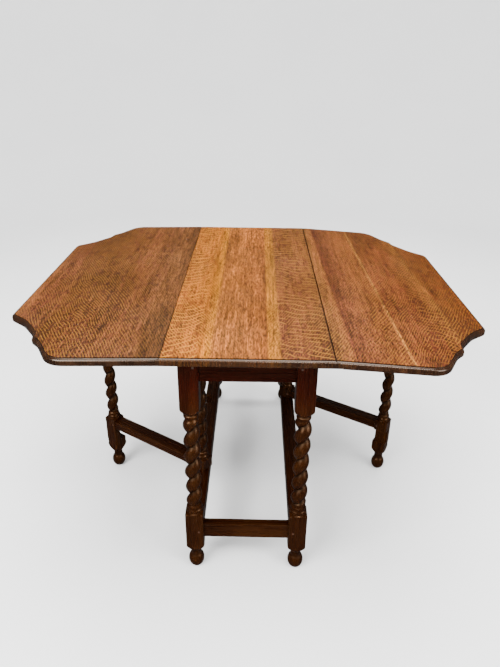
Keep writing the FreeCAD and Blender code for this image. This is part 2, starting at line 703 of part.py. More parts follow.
def frame_pegs():
    pieces = []
    for side in (-1, 1):
        for end in (-1, 1):
            for kind, rail in RAILS.items():
                for n, (along, x, y) in enumerate(peg_places(kind, side, end)):
                    pieces.append(rod(f"peg_{kind}_{SIDE_NAMES[side]}_{END_NAMES[end]}_{n}", along,
                                      f"{side} * {LEG_X} + {x}", f"{end} * {LEG_Y} + {y}",
                                      f"{rail['low']} + {rail['high']} / 2", "peg_radius",
                                      "peg_long"))
    node(group("frame_peg_group", *pieces), "frame_pegs")


# Glue blocks stand in the angle between an apron and the centre board: (name, side, end).
GLUE_BLOCKS = [("left_front", -1, -1), ("left_back", -1, 1), ("right_front", 1, -1),
               ("right_back", 1, 1), ("front", 0, -1), ("back", 0, 1)]


def glue_block_place(side, end):
    """Middle of a glue block in plan, against the inner face of its apron."""
    if side:
        return (f"{side} * ({LEG_X} - side_apron_thick / 2 - glue_block / 2)",
                f"{end} * ({LEG_Y} - leg_square / 2 - glue_block_long)")
    inner = f"({LEG_Y} + {end_rail_inset('apron')} - apron_thick / 2 - glue_block / 2)"
    return "0", f"{end} * {inner}"


def glue_block_points():
    """The same places as numbers, for the screws up through the blocks."""
    apron_y = leg_y + size("leg_square") / 2 - size("apron_setback") - size("apron_thick")
    points = []
    for name, side, end in GLUE_BLOCKS:
        if side:
            x = side * (leg_x - size("side_apron_thick") / 2 - size("glue_block") / 2)
            y = end * (leg_y - size("leg_square") / 2 - size("glue_block_long"))
        else:
            x = 0
            y = end * (apron_y - size("glue_block") / 2)
        points.append((x, y))
    return points


def top_screw_shapes(slotted):
    """Screws that rise through the glue blocks into the centre board."""
    return screws(glue_block_points(), slotted, under - size("screw_long") / 2)


def glue_blocks():
    for n, (name, side, end) in enumerate(GLUE_BLOCKS):
        x, y = glue_block_place(side, end)
        long_x, long_y = ("glue_block", "glue_block_long") if side else ("glue_block_long", "glue_block")
        body = block(f"glue_{name}_body", x, y, f"{UNDER} - glue_block", long_x, long_y, "glue_block")
        bore = rod(f"glue_{name}_bore", "z", x, y, f"{UNDER} - glue_block - 1", "screw_head",
                   "glue_block + 1 - screw_long / 2")
        hole = made(f"glue_{name}_hole", screws([glue_block_points()[n]], False,
                                                under - size("screw_long") / 2))
        node(cut(f"glue_{name}_cut", body, bore, hole), f"glue_block_{name}")
    node(made("top_screw_group", top_screw_shapes(True)), "top_screws")


# ---------------------------------------------------------------- the gates
def gate_levels():
    """Underside of the lower and of the upper gate rail."""
    return {"lower": f"({STRETCHER_TOP} + gate_rail_gap)",
            "upper": f"({APRON_LOW} - gate_rail_gap - gate_rail_high)"}


def gate_leg_top(side):
    """The gate leg stops just under the leaf where its outermost corner stands when open."""
    swing = math.radians(size("gate_swing"))
    droop = math.radians(size("droop_left") if side < 0 else size("droop_right"))
    half = size("gate_square") / 2 * (math.sin(swing) + math.cos(swing))
    out = leg_x + size("gate_reach") * math.sin(swing) + half - hinge_x
    return under - out * math.tan(droop) - size("leaf_seat_gap")


def gate_mortises(name, towards):
    """Mortises for both gate rails, and the bores for their pegs."""
    tools = []
    for level, low in gate_levels().items():
        deep = "(gate_square / 2 - gate_tenon / 2)"
        tools.append(block(f"{name}_{level}_mortise", 0, f"{towards} * {deep}",
                           f"{low} + gate_tenon_step - joint_gap", "tenon_thick + 2 * joint_gap",
                           "gate_tenon + joint_gap", "gate_rail_high - 2 * gate_tenon_step + 2 * joint_gap"))
        tools.append(rod(f"{name}_{level}_peg_bore", "x", "-gate_square", f"{towards} * {deep}",
                         f"{low} + gate_rail_high / 2", "peg_radius", "2 * gate_square"))
    return tools


def gate_leg(side):
    name = f"gate_leg_{SIDE_NAMES[side]}"
    top = gate_leg_top(side)
    blank = turned_leg(name, size("gate_square"), top, top)
    half = "(gate_square / 2 + halving_gap / 2 + 1)"
    x = f"{-side} * ({half} / 2 - halving_gap / 2)"
    tools = [block(f"{name}_stretcher_halving", x, 0, "stretcher_low - halving_gap", half,
                   "gate_square + 2", "stretcher_high + 2 * halving_gap"),
             block(f"{name}_apron_halving", x, 0, f"{APRON_LOW} - halving_gap", half,
                   "gate_square + 2", "apron_high + halving_gap + 1")]
    tools += gate_mortises(name, side)
    place = moved(side * leg_x, side * (size("pivot_offset") - size("gate_reach")))
    node(cut(f"{name}_cut", blank, *tools), name, gate_turn(side).multiply(place))


def gate_post(side):
    """The inner post of the gate, which turns on a pin at each end."""
    name = f"gate_post_{SIDE_NAMES[side]}"
    square = size("gate_square")
    stretcher_top = size("stretcher_low") + size("stretcher_high")
    low = stretcher_top + size("post_gap")
    high = under - size("apron_high") - size("post_gap")
    shaft, twist_low, twist_high = shaft_points(square, size("block_high"), size("top_block_low"))
    wide = square * CORNER_SHARE
    lathe = made(f"{name}_turning", turning([(0, low), (wide, low)] + shaft + [(wide, high), (0, high)]))
    stock = block(f"{name}_stock", 0, 0, 0, "gate_square", "gate_square", UNDER)
    crest = size("twist_radius") * square / size("leg_square")
    rope = made(f"{name}_twist", twist(twist_low, twist_high, crest, 0))
    low_pin = rod(f"{name}_low_pin", "z", 0, 0, f"{STRETCHER_TOP} - pin_long + 1", "pin_radius",
                  "pin_long + post_gap")
    high_pin = rod(f"{name}_high_pin", "z", 0, 0, f"{APRON_LOW} - post_gap - 1", "pin_radius",
                   "pin_long + post_gap")
    blank = joined(f"{name}_blank", shared(f"{name}_trimmed", stock, lathe), rope, low_pin, high_pin)
    place = moved(side * leg_x, side * size("pivot_offset"))
    node(cut(f"{name}_cut", blank, *gate_mortises(name, -side)), name, gate_turn(side).multiply(place))


def gate_rail(side, level):
    name = f"gate_rail_{SIDE_NAMES[side]}_{level}"
    low = gate_levels()[level]
    x = f"{side} * {LEG_X}"
    y = f"{side} * (pivot_offset - gate_reach / 2)"
    body = block(f"{name}_body", x, y, low, "gate_rail_thick", "gate_reach - gate_square",
                 "gate_rail_high")
    tenon = block(f"{name}_tenons", x, y, f"{low} + gate_tenon_step", "tenon_thick",
                  "gate_reach - gate_square + 2 * gate_tenon - joint_gap",
                  "gate_rail_high - 2 * gate_tenon_step")
    pegs = [rod(f"{name}_peg_{n}", "x", f"{x} - gate_square",
                f"{y} + {way} * (gate_reach - gate_square + gate_tenon) / 2",
                f"{low} + gate_rail_high / 2", "peg_radius", "2 * gate_square")
            for n, way in enumerate((-1, 1))]
    node(cut(f"{name}_cut", joined(f"{name}_blank", body, tenon), *pegs), name, gate_turn(side))


def gate_pegs(side):
    pieces = []
    for level, low in gate_levels().items():
        for n, way in enumerate((-1, 1)):
            y = f"{side} * (pivot_offset - gate_reach / 2)"
            pieces.append(rod(f"gate_peg_{SIDE_NAMES[side]}_{level}_{n}", "x",
                              f"{side} * {LEG_X} - gate_square / 2",
                              f"{y} + {way} * (gate_reach - gate_square + gate_tenon) / 2",
                              f"{low} + gate_rail_high / 2", "peg_radius", "gate_square"))
    node(group(f"gate_peg_group_{SIDE_NAMES[side]}", *pieces), f"gate_pegs_{SIDE_NAMES[side]}",
         gate_turn(side))


# ---------------------------------------------------------------- assembly
centre_board()
for end in (-1, 1):
    for side in (-1, 1):
        frame_leg(side, end)
for kind in RAILS:
    for sign in (-1, 1):
        end_rail(kind, sign)
        side_rail(kind, sign)
frame_pegs()
glue_blocks()
for side in (-1, 1):
    leaf(side)
    for number in range(3):
        hinge_plate(side, number, -1)
        hinge_plate(side, number, 1)
        hinge_pin(side, number)
    gate_leg(side)
    gate_post(side)
    for level in gate_levels():
        gate_rail(side, level)
    gate_pegs(side)
table_screws = [place for side in (-1, 1) for place in screw_places(side, -1)]
node(made("table_screw_group", screws(table_screws, True)), "hinge_table_screws")

# ---------------------------------------------------------------- checks and export
doc.recompute()
for item in doc.Objects:
    if "Invalid" in item.State or "Error" in item.State:
        raise RuntimeError(f"{item.Label} did not build: {item.State}")
for item in NODES:
    if item.Shape.isNull() or not item.Shape.isValid():
        raise RuntimeError(f"{item.Label} has no valid shape")
os.makedirs("parts", exist_ok=True)
for item in NODES:
    item.Shape.exportStep(f"parts/{item.Label}.step")
    print(f"{item.Label}: {len(item.Shape.Solids)} solid(s), {item.Shape.Volume / 1000:.1f} cm3")
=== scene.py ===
# %% [markdown]
# # A gateleg table in oak
#
# A gateleg table has a narrow fixed frame, and a gate on each side that swings out to hold up a
# leaf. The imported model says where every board, leg and rail is and how it moves. This lesson
# leaves those places alone and gives the pieces their looks: carved twists, softened arrises,
# waxed oak with its ray flecks, and worn polish.

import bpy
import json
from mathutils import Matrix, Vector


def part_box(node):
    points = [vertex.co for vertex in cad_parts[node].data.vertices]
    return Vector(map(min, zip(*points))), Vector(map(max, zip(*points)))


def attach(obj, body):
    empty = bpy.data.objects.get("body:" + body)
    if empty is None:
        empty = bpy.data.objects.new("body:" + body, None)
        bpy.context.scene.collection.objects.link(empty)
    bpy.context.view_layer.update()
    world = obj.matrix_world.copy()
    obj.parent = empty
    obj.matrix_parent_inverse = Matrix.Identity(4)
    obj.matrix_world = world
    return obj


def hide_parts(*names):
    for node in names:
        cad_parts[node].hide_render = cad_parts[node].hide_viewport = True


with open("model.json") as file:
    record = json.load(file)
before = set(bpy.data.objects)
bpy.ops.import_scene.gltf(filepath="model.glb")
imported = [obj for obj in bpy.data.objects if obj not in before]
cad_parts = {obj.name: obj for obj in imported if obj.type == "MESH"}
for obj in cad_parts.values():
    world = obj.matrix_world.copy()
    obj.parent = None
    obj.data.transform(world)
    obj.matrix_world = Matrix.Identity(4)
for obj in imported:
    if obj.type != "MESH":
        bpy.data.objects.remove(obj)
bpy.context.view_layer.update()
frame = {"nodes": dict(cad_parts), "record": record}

import json
import math

import bpy
import numpy as np
from mathutils import Matrix, Vector

# %% [markdown]
# ## The camera
#
# The table is seen from in front and a good way above, at about the eye level of somebody who
# stands in front of it. The eye is turned a little to one side and held a little out of level.
# The matrix is built from three axes at right angles: right, up and back.

# %% Stand the camera in front of the table
EYE = Vector((0.0141, -1.6416, 1.3488))
YAW = math.radians(-0.453)
PITCH = math.radians(26.40)
ROLL = math.radians(0.661)
LENS = 30.52

ahead = Vector((math.sin(YAW) * math.cos(PITCH), math.cos(YAW) * math.cos(PITCH), -math.sin(PITCH)))
level = Vector((math.cos(YAW), -math.sin(YAW), 0.0))
lift = level.cross(ahead)
right = math.cos(ROLL) * level + math.sin(ROLL) * lift
up = -math.sin(ROLL) * level + math.cos(ROLL) * lift
camera = bpy.data.objects.new("camera", bpy.data.cameras.new("camera"))
camera.data.lens = LENS
camera.data.clip_end = 60.0
camera.matrix_world = Matrix((right, up, -ahead)).transposed().to_4x4()
camera.location = EYE
bpy.context.scene.collection.objects.link(camera)
bpy.context.scene.camera = camera
print("camera", [round(value, 3) for value in camera.location])

# %% [markdown]
# ## Surfaces from arrays
#
# Every new piece is a grid of points: one parameter runs along it, the other round it. The
# points are worked out as whole arrays and handed to the mesh at once. One helper makes an object
# from points and faces, and a second joins rows of points with four-sided faces and closes each
# end with one flat face.

# %% A helper that turns a grid of points into a closed mesh
SMOOTH_ANGLE = math.radians(38)


def piece_of(name, points, faces):
    """An object from an array of points and a list of faces: smooth, but sharp at real edges."""
    mesh = bpy.data.meshes.new(name)
    mesh.from_pydata(points.reshape(-1, 3).tolist(), [], faces)
    mesh.shade_smooth()
    mesh.set_sharp_from_angle(angle=SMOOTH_ANGLE)
    piece = bpy.data.objects.new(name, mesh)
    bpy.context.scene.collection.objects.link(piece)
    return piece


def tube(name, points, closed=True, flip=False):
    """A piece from an array (rows, columns, 3): each row is a ring, the columns wrap round, and
    two flat faces close the ends. flip turns the faces over where the rings run the other way."""
    rows, columns = points.shape[:2]
    index = np.arange(rows * columns).reshape(rows, columns)
    beside = np.roll(index, -1, axis=1)
    quads = np.stack([index[:-1], beside[:-1], beside[1:], index[1:]], axis=-1).reshape(-1, 4)
    ends = [index[0][::-1].tolist(), index[-1].tolist()] if closed else []
    if flip:
        quads = quads[:, ::-1]
        ends = [end[::-1] for end in ends]
    return piece_of(name, points, quads.tolist() + ends)


def give_points(piece, label, values):
    """Stores one value or vector for each point of the piece, for its finish to read."""
    values = np.asarray(values, dtype=np.float32)
    kind = "FLOAT_VECTOR" if values.shape[-1] == 3 else "FLOAT"
    attribute = piece.data.attributes.new(label, kind, "POINT")
    attribute.data.foreach_set("vector" if kind == "FLOAT_VECTOR" else "value", values.ravel())


print("edges sharper than", round(math.degrees(SMOOTH_ANGLE)), "degrees stay sharp")

# %% [markdown]
# ## The room
#
# The table stands on a plain pale floor that sweeps up into a wall all round, so that no corner
# or horizon shows. It is a profile turned about the upright axis: flat, then a quarter of a
# circle, then straight up.

# %% Sweep the floor up into a wall
ROOM_RADIUS = 6.0
COVE_RADIUS = 2.5
WALL_HEIGHT = 4.5
FLAT_RINGS = [0.02, 1.5, 3.0]
turn = np.linspace(0, 2 * math.pi, 97)[:-1]
quarter = np.linspace(0, math.pi / 2, 25)
out = np.concatenate([FLAT_RINGS, ROOM_RADIUS - COVE_RADIUS + COVE_RADIUS * np.sin(quarter),
                      [ROOM_RADIUS]])
high = np.concatenate([np.zeros(len(FLAT_RINGS)), COVE_RADIUS - COVE_RADIUS * np.cos(quarter),
                       [WALL_HEIGHT]])
room = np.stack([out[:, None] * np.cos(turn), out[:, None] * np.sin(turn),
                 np.repeat(high[:, None], len(turn), axis=1)], axis=-1)
floor = tube("floor", room, closed=False, flip=True)
floor_middle = piece_of("floor_middle", room[0], [list(range(len(turn)))])
for part in (floor, floor_middle):
    part.visible_glossy = False
print("floor and wall:", len(floor.data.polygons), "faces")

# %% [markdown]
# ## The light
#
# A large soft lamp stands in front and to the left, as a window would. A weaker one fills in
# from the right, one overhead lights the floor evenly, and a narrow one high in front draws a
# bright line along the moulded edge. The world is pale, but dimmer where the polish mirrors it,
# so that the dark stain stays dark.

# %% Hang the soft lamps and set the world
ROOM_LIGHT, MIRRORED_LIGHT = 0.50, 0.10
LAMPS = {
    "window": {"place": (-2.2, -2.6, 3.0), "aim": (0.0, 0.0, 0.5), "size": (2.4, 2.0), "watts": 300},
    "fill": {"place": (3.0, -2.0, 2.0), "aim": (0.0, 0.0, 0.4), "size": (2.0, 2.0), "watts": 110},
    "strip": {"place": (0.9, -2.3, 3.4), "aim": (0.2, -0.5, 0.7), "size": (2.2, 0.4), "watts": 90},
    "ceiling": {"place": (0.0, 0.6, 3.9), "aim": (0.0, 0.2, 0.0), "size": (3.4, 3.4), "watts": 300},
}


def hang(name, place, aim, size, watts):
    """An oblong lamp at a place, turned to face a point."""
    light = bpy.data.lights.new(name, "AREA")
    light.shape = "RECTANGLE"
    light.size, light.size_y = size
    light.energy = watts
    lamp = bpy.data.objects.new(name, light)
    lamp.location = place
    lamp.rotation_euler = (Vector(aim) - Vector(place)).to_track_quat("-Z", "Y").to_euler()
    bpy.context.scene.collection.objects.link(lamp)


for name, settings in LAMPS.items():
    hang(name, **settings)
world = bpy.data.worlds.new("room_light")
world.use_nodes = True
sky = world.node_tree.nodes["Background"]
sky.inputs["Color"].default_value = (0.96, 0.98, 1.0, 1.0)
ray = world.node_tree.nodes.new("ShaderNodeLightPath")
dimmer = world.node_tree.nodes.new("ShaderNodeMapRange")
dimmer.inputs["To Min"].default_value = ROOM_LIGHT
dimmer.inputs["To Max"].default_value = MIRRORED_LIGHT
world.node_tree.links.new(ray.outputs["Is Glossy Ray"], dimmer.inputs["Value"])
world.node_tree.links.new(dimmer.outputs["Result"], sky.inputs["Strength"])
bpy.context.scene.world = world
print("lamps:", ", ".join(LAMPS))

# %% [markdown]
# ## Words for mixing a finish
#
# A finish is a small network: patterns in, colour and roughness out. The class below gives short
# words to the few nodes that every finish here uses, so that each recipe reads as a list of
# steps.

# %% A bench for mixing finishes


class Finish:
    """A material and the handful of nodes that these recipes need."""

    def __init__(self, name):
        self.material = bpy.data.materials.new(name)
        self.material.use_nodes = True
        self.tree = self.material.node_tree
        self.shader = self.tree.nodes["Principled BSDF"]

    def set(self, **values):
        """Sets the shader's own sockets, given as words joined with underscores."""
        for label, value in values.items():
            self.shader.inputs[label.replace("_", " ")].default_value = value

    def node(self, kind, inputs=(), **settings):
        """A node with its settings, and its inputs joined or filled in by name or number."""
        made = self.tree.nodes.new("ShaderNode" + kind)
        for label, value in settings.items():
            setattr(made, label, value)
        for socket, value in dict(inputs).items():
            if isinstance(value, bpy.types.NodeSocket):
                self.tree.links.new(value, made.inputs[socket])
            else:
                made.inputs[socket].default_value = value
        return made

    def feed(self, socket, value):
        """Joins a value to one of the shader's sockets."""
        self.tree.links.new(value, self.shader.inputs[socket])

    def sum(self, operation, *values):
        """Arithmetic on numbers."""
        return self.node("Math", dict(enumerate(values)), operation=operation).outputs[0]

    def stretched(self, vector, scale, shift=(0.0, 0.0, 0.0)):
        """The same place with each direction scaled, so that a pattern is drawn out."""
        return self.node("Mapping", {"Vector": vector, "Scale": scale, "Location": shift}).outputs[0]

    def cloud(self, vector, scale=1.0, detail=2.0, roughness=0.5, distortion=0.0):
        """Soft noise from 0 to 1."""
        return self.node("TexNoise", {"Vector": vector, "Scale": scale, "Detail": detail,
                                      "Roughness": roughness, "Distortion": distortion}).outputs["Fac"]

    def window(self, value, low, high, bottom=0.0, top=1.0):
        """0 below low, 1 above high, and an easy curve between."""
        return self.node("MapRange", {"Value": value, "From Min": low, "From Max": high,
                                      "To Min": bottom, "To Max": top},
                         interpolation_type="SMOOTHSTEP").outputs["Result"]

    def ramp(self, value, stops):
        """Colours laid out along a line: stops are (place, colour)."""
        made = self.node("ValToRGB", {"Fac": value})
        band = made.color_ramp
        while len(band.elements) < len(stops):
            band.elements.new(1.0)
        for element, (place, colour) in zip(band.elements, stops):
            element.position = place
            element.color = (*colour, 1.0)
        return made.outputs["Color"]

    def blend(self, amount, under, over, mode="MIX"):
        """One colour laid over another."""
        made = self.node("Mix", {}, data_type="RGBA", blend_type=mode, clamp_factor=True)
        for number, value in ((0, amount), (6, under), (7, over)):
            if isinstance(value, bpy.types.NodeSocket):
                self.tree.links.new(value, made.inputs[number])
            else:
                made.inputs[number].default_value = value if number == 0 else (*value, 1.0)
        return made.outputs[2]

    def relief(self, *layers):
        """Bumps one on another: layers are (height, strength, distance)."""
        normal = None
        for height, strength, distance in layers:
            inputs = {"Height": height, "Strength": strength, "Distance": distance}
            if normal is not None:
                inputs["Normal"] = normal
            normal = self.node("Bump", inputs).outputs["Normal"]
        self.feed("Normal", normal)

    def paint(self, *objects):
        """Gives the finish to objects, in place of what they have."""
        for item in objects:
            item.data.materials.clear()
            item.data.materials.append(self.material)


# %% [markdown]
# ## Pale floor
#
# A studio floor is painted board: nearly white and matt. Two whites, mixed by a broad soft noise,
# keep it from looking like empty space.

# %% Paint the floor
pale = Finish("pale_floor")
place = pale.node("TexCoord").outputs["Object"]
shade = pale.window(pale.cloud(place, 1.3, 3.0), 0.3, 0.7)
pale.feed("Base Color", pale.blend(shade, (0.93, 0.93, 0.93), (0.96, 0.96, 0.955)))
pale.set(Roughness=0.7)
pale.paint(floor, floor_middle)
print("floor finish:", pale.material.name)

# %% [markdown]
# ## The top: quarter-sawn oak
#
# Each board of the top is glued up from planks that were sawn towards the heart of the tree, so
# the rays that cross the grain show as pale wavy flecks. Planks from different logs took the
# stain differently: some went golden, some red, some nearly brown. A colour band across the
# table gives each plank its tone, with the thin pale lines where two planks meet. The planks of
# the right leaf were cut at a slight slant, so there the bands lean a little with the place
# along the table.

# %% Set out the planks: (place across the table in millimetres, colour, share of flecks)
PLANKS = [
    (-620, (0.099, 0.031, 0.009), 0.15),
    (-575, (0.063, 0.017, 0.007), 0.30),
    (-510, (0.041, 0.012, 0.004), 0.55),
    (-430, (0.040, 0.011, 0.004), 0.60),
    (-335, (0.059, 0.017, 0.006), 0.40),
    (-268, (0.060, 0.019, 0.007), 0.25),
    (-256, (0.059, 0.020, 0.006), 0.15),
    (-199.5, (0.048, 0.016, 0.005), 0.12),
    (-198, (0.140, 0.036, 0.004), 0.95),
    (-122, (0.170, 0.044, 0.004), 0.95),
    (-110, (0.163, 0.043, 0.002), 0.38),
    (-87, (0.233, 0.074, 0.003), 0.38),
    (-84, (0.173, 0.051, 0.009), 0.12),
    (47, (0.118, 0.032, 0.006), 0.12),
    (49, (0.175, 0.055, 0.004), 0.38),
    (77, (0.113, 0.038, 0.005), 0.38),
    (79, (0.070, 0.018, 0.008), 1.00),
    (197.5, (0.058, 0.017, 0.006), 1.00),
    (199, (0.067, 0.022, 0.007), 0.60),
    (231, (0.105, 0.030, 0.009), 0.60),
    (238, (0.053, 0.012, 0.005), 0.20),
    (265, (0.061, 0.016, 0.006), 0.25),
    (330, (0.074, 0.020, 0.005), 0.35),
    (368, (0.105, 0.028, 0.007), 0.35),
    (369.5, (0.172, 0.063, 0.012), 0.20),
    (373, (0.170, 0.065, 0.013), 0.20),
    (374.5, (0.073, 0.018, 0.005), 0.30),
    (470, (0.055, 0.010, 0.004), 0.75),
    (521, (0.094, 0.026, 0.006), 0.70),
    (523.5, (0.133, 0.048, 0.008), 0.20),
    (526, (0.075, 0.019, 0.004), 0.35),
    (620, (0.046, 0.009, 0.001), 0.35),
]
SEAM = 0.1985
FACE_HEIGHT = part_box("centre_board")[1].z
BAND_LOW, BAND_WIDE = -0.64, 1.28
LEANING_FROM, LEAN = 0.21, 0.018


def banded(stops):
    """Stops across the table, in millimetres, as places from 0 to 1 along a ramp."""
    return [((place / 1000 - BAND_LOW) / BAND_WIDE, value) for place, value in stops]


top = Finish("waxed_quartered_oak")
place = top.node("TexCoord").outputs["Object"]
split = top.node("SeparateXYZ", {"Vector": place})
across, along = split.outputs["X"], split.outputs["Y"]
outward = top.sum("ABSOLUTE", across)
on_right = top.sum("GREATER_THAN", across, 0.0)
leaning = top.sum("GREATER_THAN", across, LEANING_FROM)
lean = top.sum("MULTIPLY", leaning, top.sum("MULTIPLY", along, LEAN))
where = top.sum("DIVIDE", top.sum("SUBTRACT", top.sum("ADD", across, lean), BAND_LOW), BAND_WIDE)
plank = top.ramp(where, banded([(place, colour) for place, colour, share in PLANKS]))
fleck_share = top.ramp(where, banded([(place, (share,) * 3) for place, colour, share in PLANKS]))
print("top:", len(PLANKS), "bands of tone")

# %% [markdown]
# Within a plank the tone is never even. Broad clouds follow the years in which the tree grew
# fast or slowly, streaks and short dashes are the cut ends of its vessels, and the pores are the
# open ones, which hold dirt. Each is the same soft noise, drawn out along the grain by a
# different amount.

# %% Shade the grain
broad = top.cloud(top.stretched(place, (11.0, 2.2, 1.0)), 1.0, 4.0, 0.6, 0.5)
tone = top.window(broad, 0.28, 0.74, 0.52, 1.50)
streaks = top.cloud(top.stretched(place, (230.0, 6.0, 5.0)), 1.0, 5.0, 0.7)
streak_tone = top.window(streaks, 0.28, 0.74, 0.36, 1.70)
dashes = top.cloud(top.stretched(place, (340.0, 62.0, 62.0)), 1.0, 3.0, 0.75)
dash_tone = top.window(dashes, 0.35, 0.65, 0.28, 1.90)
fine = top.cloud(top.stretched(place, (520.0, 26.0, 22.0)), 1.0, 2.0, 0.6)
pores = top.window(fine, 0.58, 0.70)
shade = top.sum("MULTIPLY", top.sum("MULTIPLY", tone, streak_tone), dash_tone)
colour = top.blend(1.0, plank, shade, "MULTIPLY")
print("grain: clouds, streaks, dashes and pores")

# %% [markdown]
# The flecks are bands that cross the grain. A climbing sine wave gives the bands, soft noise
# bends them, and a second noise breaks them into dashes. A bold set shows only in the planks
# sawn truest to the heart, and a small, slanting set shows a little everywhere.

# %% Lay the flecks over the grain
bend = top.cloud(top.stretched(place, (9.0, 3.5, 5.0)), 1.0, 2.0, 0.5)
bend_fine = top.cloud(top.stretched(place, (30.0, 12.0, 5.0)), 1.0, 2.0, 0.5)


def flecks(per_metre, slant, sweep, wobble, low, high, patch_scale, patch_low, patch_high, shift):
    """Pale dashes: the size of the sine of a climbing wave, kept only near its crests and only in
    patches. slant leans the dashes, sweep and wobble bend them."""
    wave = top.sum("MULTIPLY_ADD", along, per_metre, top.sum("MULTIPLY", outward, slant))
    wave = top.sum("MULTIPLY_ADD", bend, sweep, wave)
    wave = top.sum("MULTIPLY_ADD", bend_fine, wobble, wave)
    swing = top.sum("ABSOLUTE", top.sum("SINE", top.sum("MULTIPLY", wave, math.pi)))
    crest = top.window(swing, low, high)
    patches = top.cloud(top.stretched(place, patch_scale, shift), 1.0, 3.0, 0.6)
    return top.sum("MULTIPLY", crest, top.window(patches, patch_low, patch_high))


bold = flecks(43.0, 16.0, 4.5, 0.7, 0.91, 0.99, (48.0, 30.0, 5.0), 0.36, 0.52, (3.0, 1.0, 0.0))
small = flecks(64.0, -130.0, 6.0, 0.9, 0.74, 1.0, (110.0, 40.0, 5.0), 0.34, 0.56, (7.0, 4.0, 0.0))
bold_share = top.window(fleck_share, 0.40, 0.95)
fleck = top.sum("MAXIMUM", top.sum("MULTIPLY", bold, bold_share),
                top.sum("MULTIPLY", small, top.window(fleck_share, 0.0, 0.6, 0.22, 0.80)))
brighter = top.blend(1.0, plank, (2.5, 3.0, 2.0), "MULTIPLY")
fleck_colour = top.blend(0.28, brighter, (0.52, 0.235, 0.016))
colour = top.blend(top.sum("MULTIPLY", fleck, 0.85), colour, fleck_colour)
between = top.sum("MULTIPLY", top.sum("SUBTRACT", 1.0, fleck), top.window(fleck_share, 0.3, 0.9))
darker = top.blend(1.0, colour, (0.48, 0.36, 0.34), "MULTIPLY")
colour = top.blend(top.sum("MULTIPLY", between, 0.35), colour, darker)
colour = top.blend(top.sum("MULTIPLY", pores, 0.62), colour, (0.022, 0.0055, 0.0014))
print("flecks: a bold set and a small one")

# %% [markdown]
# Painted shade darkens the sunk line of the moulding and other crevices, found by ambient
# occlusion, and the two joints between leaves and board, more on the right, where the leaf droops
# further. The moulded edge below the face is coloured nearly black. How far a point lies below
# the face is measured from the face of its own leaf, which drops by the tangent of its droop.

# %% Paint shade into crevices and joints, and darken the moulded edge
LEFT_DROOP, RIGHT_DROOP = math.tan(math.radians(1.0)), math.tan(math.radians(3.8))
# Painted shade: ambient occlusion darkens crevices, such as the sunk line of the moulding.
crevice = top.node("AmbientOcclusion", {"Distance": 0.006}, samples=8, only_local=True).outputs["AO"]
crevice_shade = top.window(crevice, 0.55, 0.95, 1.0, 0.0)
colour = top.blend(top.sum("MULTIPLY", crevice_shade, 0.85), colour, (0.018, 0.008, 0.005))
# Painted shade: a dark line along each joint between a leaf and the board, wider and darker on the
# right.
beyond = top.sum("SUBTRACT", outward, SEAM)
seam_reach = top.sum("MULTIPLY_ADD", on_right, 0.0014, 0.0016)
seam_shade = top.window(top.sum("ABSOLUTE", beyond), 0.0008, seam_reach, 1.0, 0.0)
seam_shade_strength = top.sum("MULTIPLY_ADD", on_right, 0.60, 0.35)
colour = top.blend(top.sum("MULTIPLY", seam_shade, seam_shade_strength), colour, (0.004, 0.0015, 0.0008))
droop = top.sum("MULTIPLY_ADD", on_right, RIGHT_DROOP - LEFT_DROOP, LEFT_DROOP)
drop = top.sum("MULTIPLY", top.sum("MAXIMUM", beyond, 0.0), droop)
below_face = top.sum("SUBTRACT", FACE_HEIGHT, top.sum("ADD", split.outputs["Z"], drop))
moulding = top.window(below_face, 0.0007, 0.0019)
# The moulded edge below the face is coloured nearly black, in lighter and darker patches.
edge_patches = top.cloud(top.stretched(place, (30.0, 30.0, 30.0)), 1.0, 3.0, 0.6)
edge_tone = top.blend(top.window(edge_patches, 0.35, 0.65), (0.006, 0.0024, 0.0012),
                      (0.020, 0.0078, 0.0032))
colour = top.blend(top.sum("MULTIPLY", moulding, 0.93), colour, edge_tone)
print("moulded edge: below", round(FACE_HEIGHT, 4), "m")

# %% [markdown]
# The polish is wax, worn unevenly: it is duller where it was scuffed and over the open pores, and
# glossier on the moulding, which has a thin coat of its own. The bumps are a few tenths of a
# millimetre: the streaks make the face uneven, the pores are sunk, and the flecks, which are
# harder, stand up.

# %% Polish the top
top.feed("Coat Weight", top.sum("MULTIPLY", moulding, 0.55))
top.set(Coat_Roughness=0.22)
top.feed("Base Color", colour)
scuffs = top.cloud(top.stretched(place, (7.0, 4.0, 4.0), (5.0, 2.0, 0.0)), 1.0, 4.0, 0.6)
matt = top.sum("ADD", top.window(scuffs, 0.3, 0.7, 0.30, 0.46), top.sum("MULTIPLY", pores, 0.15))
top.feed("Roughness", top.sum("SUBTRACT", matt, top.sum("MULTIPLY", moulding, 0.14)))
top.relief((streaks, 0.12, 0.0006), (pores, 0.25, -0.0004), (fleck, 0.12, 0.0003))
top.set(Specular_IOR_Level=0.28, Specular_Tint=(1.0, 0.64, 0.32, 1.0))
top.paint(*(frame["nodes"][name] for name in ("centre_board", "leaf_left", "leaf_right")))
print("top finish:", top.material.name)

# %% [markdown]
# ## The frame: dark stained oak
#
# The legs and rails were stained nearly black brown and waxed. Handling has worn the polish thin
# on the crests of the twists and along the arrises, where the red brown of the oak shows. Painted
# shade darkens the grooves, and darkens and reddens the upper part under the top. Each piece
# carries its own coordinates, grain along its length, and says at each point how exposed it is.

# %% Mix the dark finish, once for turned and shaped pieces and once for plain CAD blocks
FLAT_EXPOSURE = 0.30


